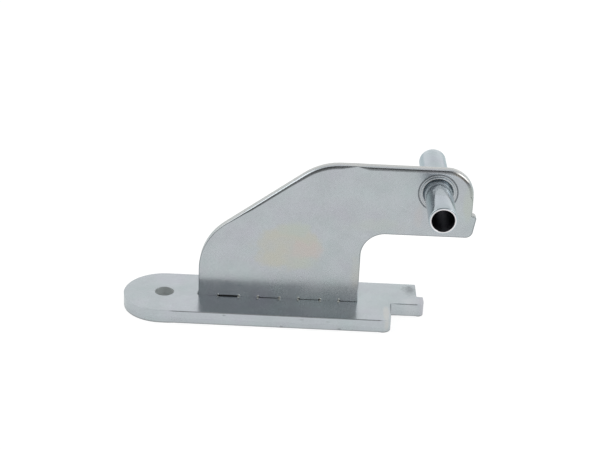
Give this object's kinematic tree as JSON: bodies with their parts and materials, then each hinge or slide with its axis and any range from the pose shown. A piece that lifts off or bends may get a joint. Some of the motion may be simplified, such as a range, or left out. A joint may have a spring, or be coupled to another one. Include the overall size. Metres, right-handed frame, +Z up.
{
  "type": "fridge door hinge",
  "caption": "Middle door hinge: a flat screw-down base, an upright arm plate riveted into it and a hollow pin that carries a door on each end.",
  "frame": {"origin": "centre of the screw hole on the base plate's underside", "axes": "+X along the base plate from the screw hole to the tongue, +Y along the pin to its rear end, +Z up from the base plate's top face"},
  "size_m": [0.1018, 0.0436, 0.0472],
  "materials": {
    "plated_base": "bright zinc plating, satin, on blanked steel plate",
    "plated_arm": "bright zinc plating with a faint yellow passivation tint",
    "plated_pin": "bright zinc plating on drawn steel tube"
  },
  "bodies": {
    "root": {"base_plate": "plated_base", "arm_plate": "plated_arm", "hinge_pin": "plated_pin"}
  },
  "joints": []
}
